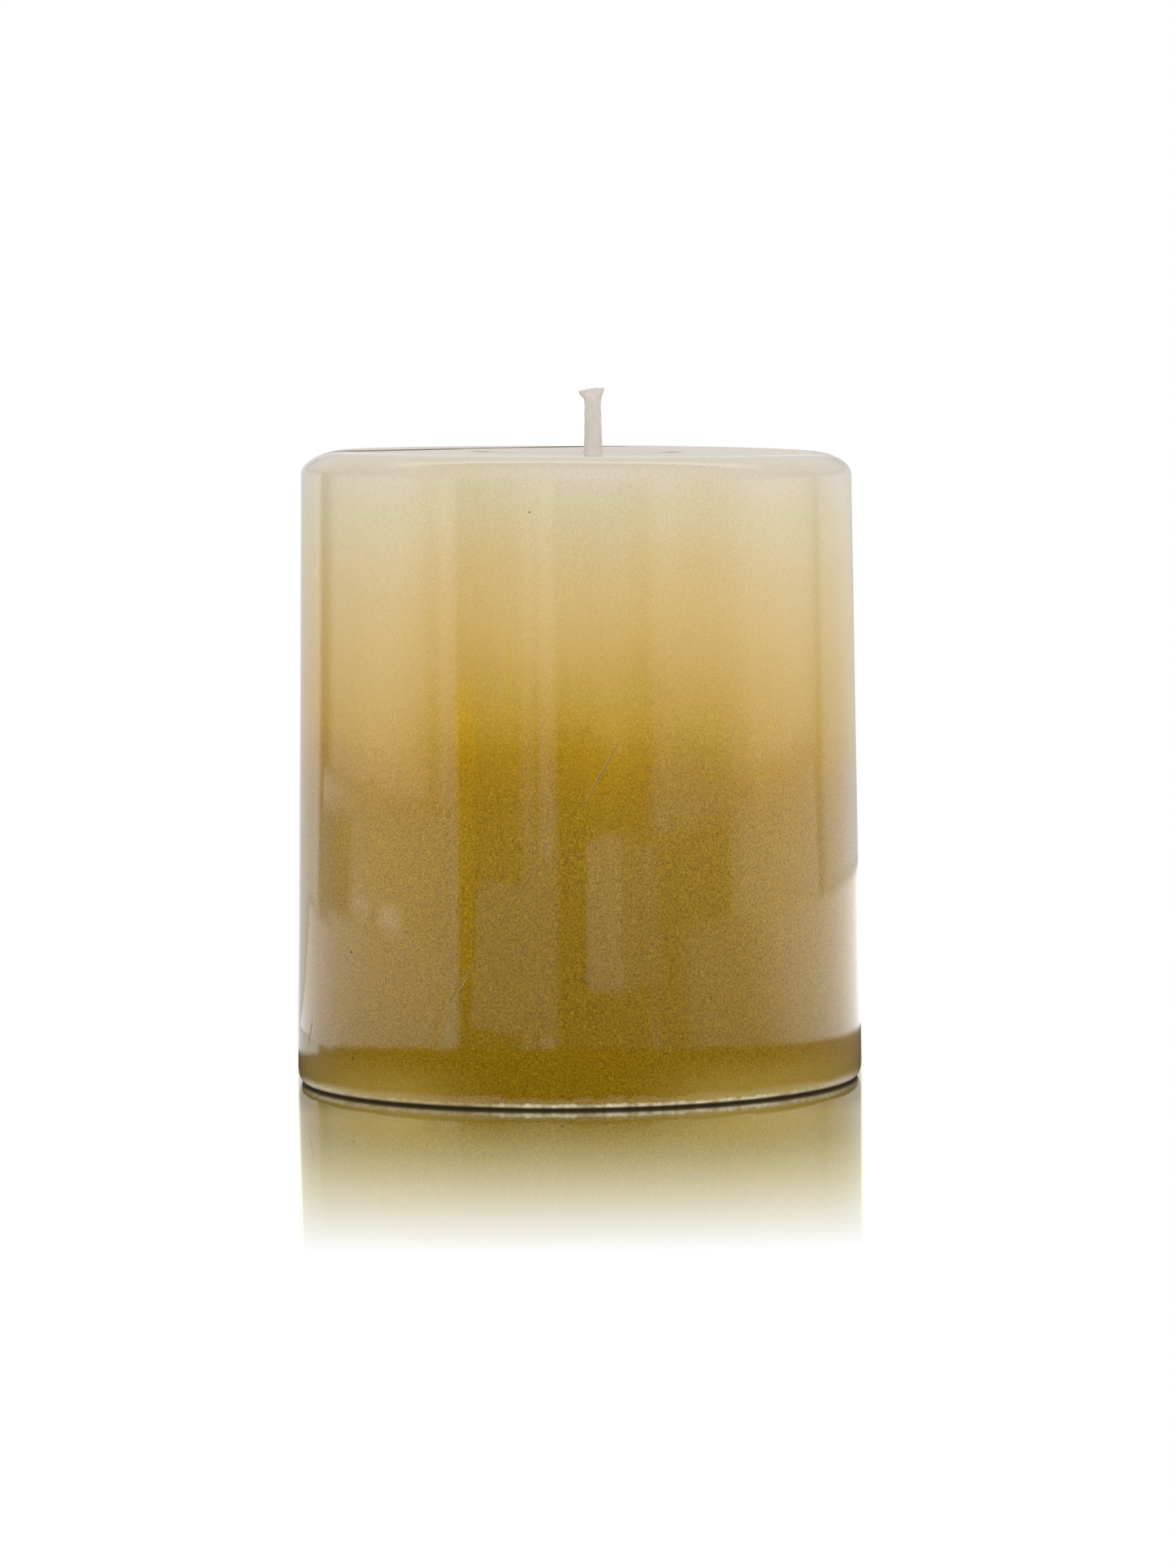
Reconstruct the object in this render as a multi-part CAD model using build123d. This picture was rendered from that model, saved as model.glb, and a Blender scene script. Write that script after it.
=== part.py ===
from build123d import *
import os

# Unity candle: a squat moulded wax pillar under an ivory overdip, a gold lacquer that fades out
# towards the top, and a clear gloss coat, with one short waxed wick held by a metal tab.
#
# Millimetres, +Z up. The origin is the centre of the base plane, on the pillar's axis.
# Each layer follows the finished surface at its own depth, so neighbouring layers share faces.

# The pillar, measured over the clear gloss coat
pillar_diameter = 76.0
body_height = 84.5
side_draft = 0.0137  # radius lost per millimetre of height
rim_width = 5.4  # rounded top edge, across
rim_drop = 3.1  # rounded top edge, down
top_sink = 0.5  # how far the top face sinks in its middle
roll_width = 1.0  # rolled base edge, across
roll_height = 2.2  # rolled base edge, up

# The coats, from the outside in
clear_thickness = 0.25
gold_thickness = 0.20
overdip_thickness = 1.2
fade_start = 36.0  # height where the gold starts to thin
fade_end = 80.0  # height where the gold has thinned out to nothing

# The underside
dish_radius = 25.0
dish_depth = 0.8
dish_slope = 1.5  # how much smaller the dish is at its floor than at the base plane
pocket_radius = 8.0
pocket_depth = 1.4
seal_sink = 0.3  # how far the poured seal sinks in its middle

# The wick, which stands a little to one side of the pillar's axis
wick_offset = 2.7
wick_height = 8.9  # from the middle of the top face to the high corner of the cut
wick_radius = 1.18
wick_wax_thickness = 0.22
crushed_length = 2.3  # the tip that the scissors flattened
crushed_half_width = 1.74
crushed_half_depth = 0.78
cut_angle = 8.8  # degrees; the cut rises towards +X
foot_radius = 1.45
foot_height = 0.8

# The metal tab under the wick
tab_radius = 7.5
tab_thickness = 0.25
neck_wall = 0.35
neck_height = 6.0
neck_root_radius = 0.3
crimp_depth = 0.12
crimp_length = 2.0

# Worked out from the above
pillar_radius = pillar_diameter / 2
shoulder_height = body_height - rim_drop
overdip_depth = clear_thickness + gold_thickness
core_depth = overdip_depth + overdip_thickness
pocket_top = dish_depth + pocket_depth
tab_bottom = pocket_top - tab_thickness
neck_radius = wick_radius + neck_wall
neck_top = pocket_top + neck_height
top_centre = body_height - top_sink
wick_top = top_centre + wick_height
wick_axis = Pos(wick_offset, 0, 0)


def side_radius(height, depth):
    """Radius of the tapered side at a height, at a depth under the finished surface."""
    return pillar_radius - depth - side_draft * (height - roll_height)


def base_roll(depth):
    """Quarter ellipse that rolls the side in to the base plane."""
    centre = (side_radius(roll_height, depth) - roll_width, roll_height)
    return EllipticalCenterArc(centre, roll_width, roll_height, start_angle=-90, arc_size=90)


def top_rim(depth):
    """Quarter ellipse that rounds the side over to the top face."""
    centre = (side_radius(shoulder_height, 0) - rim_width, shoulder_height)
    return EllipticalCenterArc(centre, rim_width - depth, rim_drop - depth, start_angle=0, arc_size=90)


def turned(edges):
    """Solid turned about the Z axis from closed half-section edges drawn as (radius, height)."""
    return revolve(Plane.XZ * make_face(edges), Axis.Z)


def pillar(depth):
    """Everything that lies deeper than depth under the finished surface."""
    roll = base_roll(depth)
    rim = top_rim(depth)
    side = Line(roll @ 1, rim @ 0)
    inwards = (-1, 0)
    top = Spline(rim @ 1, (0, top_centre - depth), tangents=[inwards, inwards])
    axis_and_base = Polyline(top @ 1, (0, 0), roll @ 0)
    return turned(Curve() + [roll, side, rim, top, axis_and_base])


def cylinder_between(radius, bottom, top):
    """Upright cylinder on the Z axis between two heights."""
    return Pos(0, 0, bottom) * Cylinder(radius, top - bottom, align=(Align.CENTER, Align.CENTER, Align.MIN))


def wick_body(depth):
    """The wick, at a depth under its wax: a round stem with a flattened tip, cut on a slant."""
    crush_start = wick_top - crushed_length
    stem = cylinder_between(wick_radius - depth, tab_bottom, crush_start)
    round_end = Pos(0, 0, crush_start) * Circle(wick_radius - depth)
    flat_end = Pos(0, 0, wick_top) * Ellipse(crushed_half_width - depth, crushed_half_depth - depth)
    tip = loft([round_end, flat_end])
    cut = Plane((crushed_half_width, 0, wick_top), x_dir=(1, 0, 0), z_dir=(0, 0, 1)).rotated((0, -cut_angle, 0))
    return split(stem + tip, bisect_by=cut, keep=Keep.BOTTOM)


def wick_channel():
    """Space that the wick fills inside the pillar."""
    return wick_axis * cylinder_between(wick_radius, 0, wick_top)


def gold_film():
    """Gold lacquer under the clear coat: even at the base, then thinning out to nothing."""
    outer_roll = base_roll(clear_thickness)
    inner_roll = base_roll(overdip_depth)
    side = Polyline(
        outer_roll @ 1,
        (side_radius(fade_start, clear_thickness), fade_start),
        (side_radius(fade_end, overdip_depth), fade_end),
        inner_roll @ 1,
    )
    base = Line(inner_roll @ 0, outer_roll @ 0)
    return turned(Curve() + [outer_roll, side, inner_roll, base])


def clear_coat():
    """Clear gloss coat over the gold and the bare overdip, closing up to the wick."""
    return pillar(0) - gold_film() - pillar(overdip_depth) - wick_channel()


def overdip():
    """Ivory hard-wax skin around the core."""
    return pillar(overdip_depth) - pillar(core_depth) - wick_channel()


def base_dish():
    """Shallow dish in the underside, left as the poured wax shrank."""
    return Cone(
        dish_radius, dish_radius - dish_slope, dish_depth, align=(Align.CENTER, Align.CENTER, Align.MIN)
    )


def tab_pocket():
    """Round pocket above the dish, where the wick's tab lies."""
    return wick_axis * cylinder_between(pocket_radius, dish_depth, pocket_top)


def sustainer_blank():
    """The tab and its neck, without the wick's hole or the crimp marks."""
    tab = cylinder_between(tab_radius, tab_bottom, pocket_top)
    neck = cylinder_between(neck_radius, pocket_top, neck_top)
    root_end = neck_radius + neck_root_radius
    root = turned(
        Curve()
        + [
            Line((neck_radius, pocket_top), (root_end, pocket_top)),
            RadiusArc((root_end, pocket_top), (neck_radius, pocket_top + neck_root_radius), -neck_root_radius),
            Line((neck_radius, pocket_top + neck_root_radius), (neck_radius, pocket_top)),
        ]
    )
    return tab + neck + root


def crimp_marks():
    """The two flats that the crimping tool leaves on opposite sides of the neck."""
    reach = 2 * neck_radius
    middle = pocket_top + neck_height / 2
    marks = Part()
    for side in (-1, 1):
        place = Pos(0, side * (neck_radius - crimp_depth + reach / 2), middle)
        marks += place * Box(reach, reach, crimp_length)
    return marks


def sustainer():
    """Tinned steel tab with a neck crimped on the wick."""
    hole = cylinder_between(wick_radius, tab_bottom, neck_top)
    return wick_axis * (sustainer_blank() - hole - crimp_marks())


def seal():
    """Poured wax that fills the pocket around and under the tab, sunk a little in its middle."""
    plug = cylinder_between(pocket_radius, dish_depth, pocket_top)
    hollow = turned(
        Curve()
        + [
            Line((0, dish_depth), (0, dish_depth + seal_sink)),
            ThreePointArc(
                (0, dish_depth + seal_sink),
                (pocket_radius / 2, dish_depth + 0.75 * seal_sink),
                (pocket_radius, dish_depth),
            ),
            Line((pocket_radius, dish_depth), (0, dish_depth)),
        ]
    )
    tab = cylinder_between(tab_radius, tab_bottom, pocket_top)
    return wick_axis * (plug - hollow - tab)


def core():
    """Moulded wax pillar with the dish, the tab's pocket, the neck's socket and the wick's channel."""
    socket = wick_axis * (sustainer_blank() - crimp_marks())
    return pillar(core_depth) - base_dish() - tab_pocket() - socket - wick_channel()


def wick_foot():
    """Small cone of wax, hollow at its waist, that climbs from the top face on to the wick."""
    toe = (foot_radius, top_centre)
    waist = (wick_radius + 0.3 * (foot_radius - wick_radius), top_centre + 0.3 * foot_height)
    head = (wick_radius, top_centre + foot_height)
    axis_side = Polyline(head, (0, top_centre + foot_height), (0, top_centre), toe)
    return wick_axis * turned(Curve() + [ThreePointArc(toe, waist, head), axis_side]) - pillar(0)


def wick_wax():
    """Primer wax around the braid, with its foot on the candle's top."""
    return wick_axis * wick_body(0) + wick_foot() - braid()


def braid():
    """Cotton braid inside the primer wax."""
    return wick_axis * wick_body(wick_wax_thickness)


nodes = {
    "wax_core": core,
    "overdip_shell": overdip,
    "gold_lacquer_coat": gold_film,
    "clear_gloss_coat": clear_coat,
    "wick_braid": braid,
    "wick_wax_coat": wick_wax,
    "wick_sustainer": sustainer,
    "sustainer_wax_seal": seal,
}

os.makedirs("parts", exist_ok=True)
for name, make in nodes.items():
    export_step(make(), f"parts/{name}.step")
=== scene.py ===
import math

import bmesh
import bpy
import numpy as np
from mathutils import Matrix, Vector


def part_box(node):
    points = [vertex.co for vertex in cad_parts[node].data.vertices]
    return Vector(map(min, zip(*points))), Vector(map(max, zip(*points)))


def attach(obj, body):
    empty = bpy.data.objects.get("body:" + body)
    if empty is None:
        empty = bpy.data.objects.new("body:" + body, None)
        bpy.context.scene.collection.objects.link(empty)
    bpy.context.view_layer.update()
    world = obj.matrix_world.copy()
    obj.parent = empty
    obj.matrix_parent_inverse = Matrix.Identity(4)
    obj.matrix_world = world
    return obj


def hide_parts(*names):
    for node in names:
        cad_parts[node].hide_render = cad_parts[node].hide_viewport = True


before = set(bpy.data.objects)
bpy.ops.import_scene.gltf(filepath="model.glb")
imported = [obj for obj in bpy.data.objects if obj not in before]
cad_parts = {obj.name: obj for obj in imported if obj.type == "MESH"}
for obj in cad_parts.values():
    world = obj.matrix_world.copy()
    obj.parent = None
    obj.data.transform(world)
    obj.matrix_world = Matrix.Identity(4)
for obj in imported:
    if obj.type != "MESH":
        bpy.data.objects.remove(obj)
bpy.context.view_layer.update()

# A lacquered pillar candle: gold fading to ivory under a clear gloss coat, and a short waxed wick.
# Blender works in metres. Shapes below are written in millimetres and scaled by MM as they are made.

MM = 0.001

# Read from the frame
coat_low, coat_high = (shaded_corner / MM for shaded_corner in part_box("clear_gloss_coat"))
dip_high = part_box("overdip_shell")[1] / MM
core_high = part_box("wax_core")[1] / MM
wick_low, wick_high = (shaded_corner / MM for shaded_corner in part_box("wick_wax_coat"))
tab_low, tab_high = (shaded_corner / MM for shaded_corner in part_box("wick_sustainer"))

BODY_HEIGHT = coat_high.z
WIDEST_RADIUS = (coat_high.x - coat_low.x) / 2
FILM_DEPTH = coat_high.z - dip_high.z  # gold and clear coats together
DIP_DEPTH = coat_high.z - core_high.z  # down to the moulded core
WICK_X = (tab_low.x + tab_high.x) / 2
WICK_BOTTOM = wick_low.z
WICK_TOP = wick_high.z

# The profile that the coats follow
SIDE_DRAFT = 0.0137
RIM_WIDTH = 5.4
RIM_DROP = 3.1
ROLL_WIDTH = 1.0
ROLL_HEIGHT = 2.2
TOP_SINK = 0.5
SHOULDER_HEIGHT = BODY_HEIGHT - RIM_DROP
TOP_CENTRE = BODY_HEIGHT - TOP_SINK
WICK_RADIUS = 1.18

# What hand dipping leaves behind
LEAN = 0.0046  # sideways shift towards +X per millimetre of height
TOP_SLANT = -0.0153  # the top face falls towards +X
SLUMP = 0.32  # how far the shoulder towards -X has slumped
SINK_SPREAD = (0.0, 17.0)  # the sunk middle of the top face, from its floor to its edge, in radius
CREASE = 0.13  # the top face drops this much beyond a soft crease across its back left
CREASE_WIDTH = 13.0
CREASE_WAY = (-0.72, 0.69)  # square to the crease
CREASE_PLACE = 11.0  # from the axis, along that way

CORE_CLEARANCE = 0.02  # the overdip's inside stops this far outside the core

# How finely the coats are meshed
SEGMENTS = 720  # points round each ring
TOP_RINGS = 20
RIM_RINGS = 26
SIDE_RINGS = 44
ROLL_RINGS = 16
INSIDE_FINENESS = 0.35  # rings of a coat's hidden inside, as a share of its outside's


def smoothstep(low, high, value):
    """0 below low, 1 above high, with a smooth step between; works on numbers and arrays."""
    t = np.clip((value - low) / (high - low), 0.0, 1.0)
    return t * t * (3.0 - 2.0 * t)


# ---------------------------------------------------------------- meshes


def mesh_object(name, points, faces, material):
    """Object from points in millimetres and faces as index tuples, smooth shaded, normals outward."""
    mesh = bpy.data.meshes.new(name)
    mesh.from_pydata([tuple(p) for p in np.asarray(points) * MM], [], faces)
    work = bmesh.new()
    work.from_mesh(mesh)
    bmesh.ops.recalc_face_normals(work, faces=work.faces)
    work.to_mesh(mesh)
    work.free()
    mesh.shade_smooth()
    mesh.materials.append(material)
    piece = bpy.data.objects.new(name, mesh)
    bpy.context.scene.collection.objects.link(piece)
    return piece


def bridge(rings, segments, closed_loop):
    """Quads between consecutive rings of points; closed_loop also joins the last ring to the first."""
    faces = []
    last = rings if closed_loop else rings - 1
    for ring in range(last):
        here = ring * segments
        there = ((ring + 1) % rings) * segments
        for step in range(segments):
            ahead = (step + 1) % segments
            faces.append((here + step, here + ahead, there + ahead, there + step))
    return faces


# ---------------------------------------------------------------- the dipped skins


def side_radius(height, depth):
    """Radius of the tapered side at a height, at a depth under the finished surface."""
    return WIDEST_RADIUS - depth - SIDE_DRAFT * (height - ROLL_HEIGHT)


def skin_rings(depth, fineness):
    """(radius, height, progress across the top) of each ring of a coat, from the wick out and down."""
    rim_centre = side_radius(SHOULDER_HEIGHT, 0.0) - RIM_WIDTH
    rings = []
    for inward in np.linspace(1.0, 0.0, int(TOP_RINGS * fineness), endpoint=False):
        radius = rim_centre + (WICK_RADIUS - rim_centre) * inward
        rings.append((radius, BODY_HEIGHT - depth, inward))
    for turn in np.linspace(math.pi / 2, 0.0, int(RIM_RINGS * fineness), endpoint=False):
        radius = rim_centre + (RIM_WIDTH - depth) * math.cos(turn)
        rings.append((radius, SHOULDER_HEIGHT + (RIM_DROP - depth) * math.sin(turn), 0.0))
    for height in np.linspace(SHOULDER_HEIGHT, ROLL_HEIGHT, int(SIDE_RINGS * fineness), endpoint=False):
        rings.append((side_radius(height, depth), height, 0.0))
    for turn in np.linspace(0.0, math.pi / 2, int(ROLL_RINGS * fineness)):
        radius = side_radius(ROLL_HEIGHT, depth) - ROLL_WIDTH * (1.0 - math.cos(turn))
        rings.append((radius, ROLL_HEIGHT * (1.0 - math.sin(turn)), 0.0))
    return rings


# Drips in the bead at the front: (degrees round, height)
FRONT_DRIPS = [(-14.0, 0.9), (-6.5, 1.0), (-2.2, 0.5), (3.4, 0.9), (9.7, 0.8), (15.0, 0.45), (20.9, 0.6)]
OTHER_DRIPS = 34  # anywhere round the base
BEAD_SIZE = 0.09
BEAD_MIDDLE = 1.0  # its height above the base plane
BEAD_HALF_HEIGHT = 0.7


def base_drips(angle):
    """Height of the lacquer bead round the base edge, 0 to about 1, with the drips that ran into it."""
    dice = np.random.default_rng(11)
    drips = []
    for degrees, tall in FRONT_DRIPS:
        drips.append((math.radians(degrees), tall, math.radians(dice.uniform(1.0, 1.8))))
    for _ in range(OTHER_DRIPS):
        drips.append((dice.uniform(-math.pi, math.pi), dice.uniform(0.15, 0.6), dice.uniform(0.02, 0.07)))
    bead = 0.35 + 0.1 * np.sin(3 * angle + 0.7) + 0.06 * np.sin(11 * angle + 2.0)
    for place, tall, width in drips:
        gap = (angle - place + math.pi) % (2 * math.pi) - math.pi
        bead = bead + tall * np.exp(-((gap / width) ** 2))
    return bead


def dipping_waves(angle, height):
    """Soft unevenness of the dipped side, in millimetres: slow sags and faint vertical runs."""
    slow = np.sin(3 * angle + 0.04 * height + 1.0) + 0.6 * np.sin(7 * angle - 0.05 * height + 4.0)
    runs = np.sin(19 * angle + 0.6) + 0.7 * np.sin(31 * angle + 0.02 * height + 2.2)
    sags = np.sin(0.21 * height + 2.0 * np.sin(2 * angle))
    return 0.012 * slow + 0.004 * runs + 0.008 * sags


def dipped(points, depth):
    """Moves points of a coat by what hand dipping does, fading to nothing at the moulded core."""
    x, y, z = points.T.copy()
    share = 1.0 - depth / DIP_DEPTH
    angle = np.arctan2(x, -y)
    radius = np.hypot(x, y)
    on_top = smoothstep(SHOULDER_HEIGHT, BODY_HEIGHT - depth, z)
    on_side = (1.0 - on_top) * smoothstep(0.0, ROLL_HEIGHT, z)
    rounded = np.exp(-(((z - BEAD_MIDDLE) / BEAD_HALF_HEIGHT) ** 2)) * smoothstep(0.0, 0.5, z)
    bead = BEAD_SIZE * base_drips(angle) * rounded
    swell = share * (on_side * dipping_waves(angle, z) + bead)
    x = x * (1.0 + swell / radius) + share * LEAN * z
    y = y * (1.0 + swell / radius)
    upper = smoothstep(0.8 * BODY_HEIGHT, SHOULDER_HEIGHT, z)
    slump = SLUMP * smoothstep(30.0, 37.0, -x)
    past_crease = x * CREASE_WAY[0] + y * CREASE_WAY[1] - CREASE_PLACE
    crease = CREASE * smoothstep(0.0, CREASE_WIDTH, past_crease)
    z = z + share * upper * (TOP_SLANT * x - slump - on_top * crease)
    return np.column_stack([x, y, z])


def skin_surface(depth, fineness):
    """Points of one coat surface, ring by ring."""
    turns = np.linspace(0.0, 2 * math.pi, SEGMENTS, endpoint=False)
    surface = []
    for radius, height, inward in skin_rings(depth, fineness):
        x = WICK_X * inward**2 + radius * np.sin(turns)
        y = -radius * np.cos(turns)
        sunk = TOP_SINK * (1.0 - smoothstep(*SINK_SPREAD, np.hypot(x, y)))
        z = height - (sunk if inward > 0.0 else 0.0) + np.zeros(SEGMENTS)
        surface.append(dipped(np.column_stack([x, y, z]), depth))
    return surface


def skin_piece(name, outer_depth, inner_depth, material):
    """Closed shell between two depths: the outside from the wick down, then the inside back up."""
    outside = skin_surface(outer_depth, 1.0)
    inside = skin_surface(inner_depth, INSIDE_FINENESS)
    rings = outside + inside[::-1]
    return mesh_object(name, np.vstack(rings), bridge(len(rings), SEGMENTS, True), material)


# ---------------------------------------------------------------- the wick

WICK_SEGMENTS = 96
TIP_LEFT = -1.85
TIP_RIGHT = 1.56
TIP_HALF_DEPTH = 0.72
CUT_SLOPE = 0.13
FLARE_LENGTH = 2.1
JACKET_WALL = 0.22
FOOT_SPREAD = 0.27  # how far the jacket's foot reaches out where it meets the top face
FOOT_CLIMB = 0.4  # and how fast it dies away up the wick
PLAIT_RATE = 3.6  # radians of the plait's weave per millimetre of height
STRANDS = 8
STRAND_SIDES = 10
STRAND_RADIUS = 0.27
STRAND_CLEARANCE = 0.1  # between a strand and the inside of the jacket


def wick_section(angle, height, inset):
    """Sideways place of the wick's surface at an angle and height, measured from its axis."""
    flare = smoothstep(WICK_TOP - FLARE_LENGTH, WICK_TOP - 0.1, height) ** 1.6
    plait = 0.030 * np.abs(np.sin(2 * angle)) ** 0.7
    chevron = 0.022 * np.sin(PLAIT_RATE * height + 2.4 * np.abs(np.sin(2 * angle)))
    waist = 0.05 - 0.10 * smoothstep(TOP_CENTRE, TOP_CENTRE + 6.5, height)
    climb = np.clip(height - TOP_CENTRE, 0.0, None)
    foot = FOOT_SPREAD * np.exp(-climb / FOOT_CLIMB) * smoothstep(TOP_CENTRE - 0.15, TOP_CENTRE, height)
    above = smoothstep(TOP_CENTRE, TOP_CENTRE + 0.6, height)
    radius = WICK_RADIUS - 0.03 - inset + above * (plait + chevron + waist) + foot * (inset == 0.0)
    across = np.sin(angle)
    reach = np.where(across < 0.0, -TIP_LEFT, TIP_RIGHT) - inset
    x = (radius + (reach - radius) * flare) * across
    y = -(radius + (TIP_HALF_DEPTH - inset - radius) * flare) * np.cos(angle)
    return x, y


def wick_tube(inset, heights):
    """Rings of the wick's surface, squeezed up to the slanted cut at the top."""
    turns = np.linspace(0.0, 2 * math.pi, WICK_SEGMENTS, endpoint=False)
    rings = []
    for height in heights:
        x, y = wick_section(turns, height, inset)
        near_tip = smoothstep(WICK_TOP - FLARE_LENGTH, WICK_TOP, height)
        z = height + near_tip * (CUT_SLOPE * (x - TIP_RIGHT))
        rings.append(np.column_stack([x + WICK_X, y, z]))
    return rings


def wick_jacket(material):
    """Primer wax round the braid: outside up, over the cut edge, and back down the inside."""
    buried = np.linspace(WICK_BOTTOM, TOP_CENTRE - 0.4, 24, endpoint=False)
    exposed = np.linspace(TOP_CENTRE - 0.4, WICK_TOP, 110)
    outside = wick_tube(0.0, np.concatenate([buried, exposed]))
    inside = wick_tube(JACKET_WALL, np.concatenate([buried, exposed[::4], [WICK_TOP - 0.12]]))
    rings = outside + inside[::-1]
    faces = bridge(len(rings), WICK_SEGMENTS, True)
    return mesh_object("wick_jacket", np.vstack(rings), faces, material)


def strand_path(strand, heights):
    """Centre line of one cotton strand of the plait, which follows the wick's squeeze at the tip."""
    phase = strand * 2 * math.pi / STRANDS
    direction = 1 if strand % 2 else -1
    turn = phase + direction * 0.9 * heights
    weave = 0.10 * np.sin(PLAIT_RATE * heights + strand * math.pi)
    x, y = wick_section(turn, heights, JACKET_WALL + STRAND_RADIUS + STRAND_CLEARANCE)
    spread = 1.0 + weave
    near_tip = smoothstep(WICK_TOP - FLARE_LENGTH, WICK_TOP, heights)
    z = heights + near_tip * CUT_SLOPE * (x - TIP_RIGHT)
    return np.column_stack([x * spread + WICK_X, y * spread, z])


def cotton_braid(material):
    """Plaited cotton strands as closed tubes, their cut ends standing a little proud."""
    heights = np.linspace(WICK_BOTTOM, WICK_TOP - 0.02, 260)
    turns = np.linspace(0.0, 2 * math.pi, STRAND_SIDES, endpoint=False)
    points = []
    faces = []
    for strand in range(STRANDS):
        path = strand_path(strand, heights)
        ahead = np.gradient(path, axis=0)
        ahead /= np.linalg.norm(ahead, axis=1)[:, None]
        sideways = np.cross(ahead, (0.0, 1.0, 0.05))
        sideways /= np.linalg.norm(sideways, axis=1)[:, None]
        upwards = np.cross(sideways, ahead)
        first = len(points) * STRAND_SIDES
        for place, side, up in zip(path, sideways, upwards):
            outwards = np.cos(turns)[:, None] * side + np.sin(turns)[:, None] * up
            points.append(place + STRAND_RADIUS * outwards)
        last = first + (len(path) - 1) * STRAND_SIDES
        for face in bridge(len(path), STRAND_SIDES, False):
            faces.append(tuple(first + index for index in face))
        faces.append(tuple(first + step for step in range(STRAND_SIDES)))
        faces.append(tuple(last + step for step in reversed(range(STRAND_SIDES))))
    return mesh_object("cotton_braid", np.vstack(points), faces, material)


# ---------------------------------------------------------------- node helpers


class Graph:
    """Adds shader nodes to one node tree and joins them as it goes."""

    def __init__(self, tree):
        self.tree = tree
        tree.nodes.clear()

    def add(self, kind, inputs=None, **settings):
        """A node of this kind; inputs maps a socket's name or number to a value or another socket."""
        node = self.tree.nodes.new(kind)
        for name, value in settings.items():
            setattr(node, name, value)
        for key, value in (inputs or {}).items():
            if isinstance(value, bpy.types.NodeSocket):
                self.tree.links.new(value, node.inputs[key])
            else:
                node.inputs[key].default_value = value
        return node

    def math(self, operation, a, b=0.0, clamp=False):
        return self.add("ShaderNodeMath", {0: a, 1: b}, operation=operation, use_clamp=clamp).outputs[0]

    def vector(self, operation, a, b):
        return self.add("ShaderNodeVectorMath", {0: a, 1: b}, operation=operation).outputs[0]

    def stretched(self, vector, scale):
        """A vector with its axes scaled."""
        return self.vector("MULTIPLY", vector, scale)

    def step(self, value, low, high, start=0.0, end=1.0):
        """start below low, end above high, smooth between."""
        inputs = {"Value": value, "From Min": low, "From Max": high, "To Min": start, "To Max": end}
        return self.add("ShaderNodeMapRange", inputs, interpolation_type="SMOOTHSTEP").outputs[0]

    def noise(self, vector, scale, detail=2.0, roughness=0.5):
        inputs = {"Vector": vector, "Scale": scale, "Detail": detail, "Roughness": roughness}
        return self.add("ShaderNodeTexNoise", inputs).outputs["Fac"]

    def blend(self, factor, a, b, mode="MIX"):
        """Colour a turning into colour b."""
        node = self.add("ShaderNodeMix", {"Factor": factor, 6: a, 7: b}, data_type="RGBA", blend_type=mode)
        return node.outputs[2]

    def ramp(self, factor, stops):
        """Colour ramp through (place, colour) stops."""
        node = self.add("ShaderNodeValToRGB", {"Fac": factor})
        bar = node.color_ramp
        while len(bar.elements) > 1:
            bar.elements.remove(bar.elements[0])
        for number, (place, colour) in enumerate(stops):
            element = bar.elements[0] if number == 0 else bar.elements.new(place)
            element.position = place
            element.color = (*colour, 1.0)
        return node.outputs["Color"]

    def bump(self, height, distance, strength):
        """Normals of a surface raised by this many metres where height is 1."""
        inputs = {"Height": height, "Distance": distance, "Strength": strength}
        return self.add("ShaderNodeBump", inputs).outputs[0]

    def scratch(self, place, start, end, width):
        """1 along the straight scratch between two points of the unrolled side, fading out at width."""
        run = Vector((*end, 0.0)) - Vector((*start, 0.0))
        from_start = self.vector("SUBTRACT", place, (*start, 0.0))
        along = self.add("ShaderNodeVectorMath", {0: from_start, 1: tuple(run)}, operation="DOT_PRODUCT")
        share = self.math("DIVIDE", along.outputs["Value"], run.length_squared, clamp=True)
        foot = self.add("ShaderNodeVectorMath", {0: tuple(run), "Scale": share}, operation="SCALE").outputs[0]
        gap = self.add("ShaderNodeVectorMath", {0: from_start, 1: foot}, operation="DISTANCE")
        fading = self.math("MULTIPLY", self.step(share, 0.0, 0.3), self.step(share, 0.6, 1.0, 1.0, 0.0))
        return self.math("MULTIPLY", self.step(gap.outputs["Value"], 0.0, width, 1.0, 0.0), fading)


def new_material(name):
    """An empty node material, its graph and its single shader."""
    material = bpy.data.materials.new(name)
    material.use_nodes = True
    graph = Graph(material.node_tree)
    shader = graph.add("ShaderNodeBsdfPrincipled")
    graph.add("ShaderNodeOutputMaterial", {"Surface": shader.outputs[0]})
    return material, graph, shader


def wire(graph, shader, **inputs):
    """Sets or links the shader's inputs; an underscore in a name stands for a space."""
    for name, value in inputs.items():
        socket = shader.inputs[name.replace("_", " ")]
        if isinstance(value, bpy.types.NodeSocket):
            graph.tree.links.new(value, socket)
        else:
            socket.default_value = value


def srgb(red, green, blue):
    """Linear colour from 0 to 255 screen values."""
    values = (channel / 255.0 for channel in (red, green, blue))
    return tuple(v / 12.92 if v <= 0.04045 else ((v + 0.055) / 1.055) ** 2.4 for v in values)


def rgba(colour):
    return (*colour, 1.0)


# ---------------------------------------------------------------- materials


def object_millimetres(graph):
    """The surface point in the object's own frame, in millimetres."""
    coordinates = graph.add("ShaderNodeTexCoord").outputs["Object"]
    return graph.vector("MULTIPLY", coordinates, (1000.0, 1000.0, 1000.0))


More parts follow.
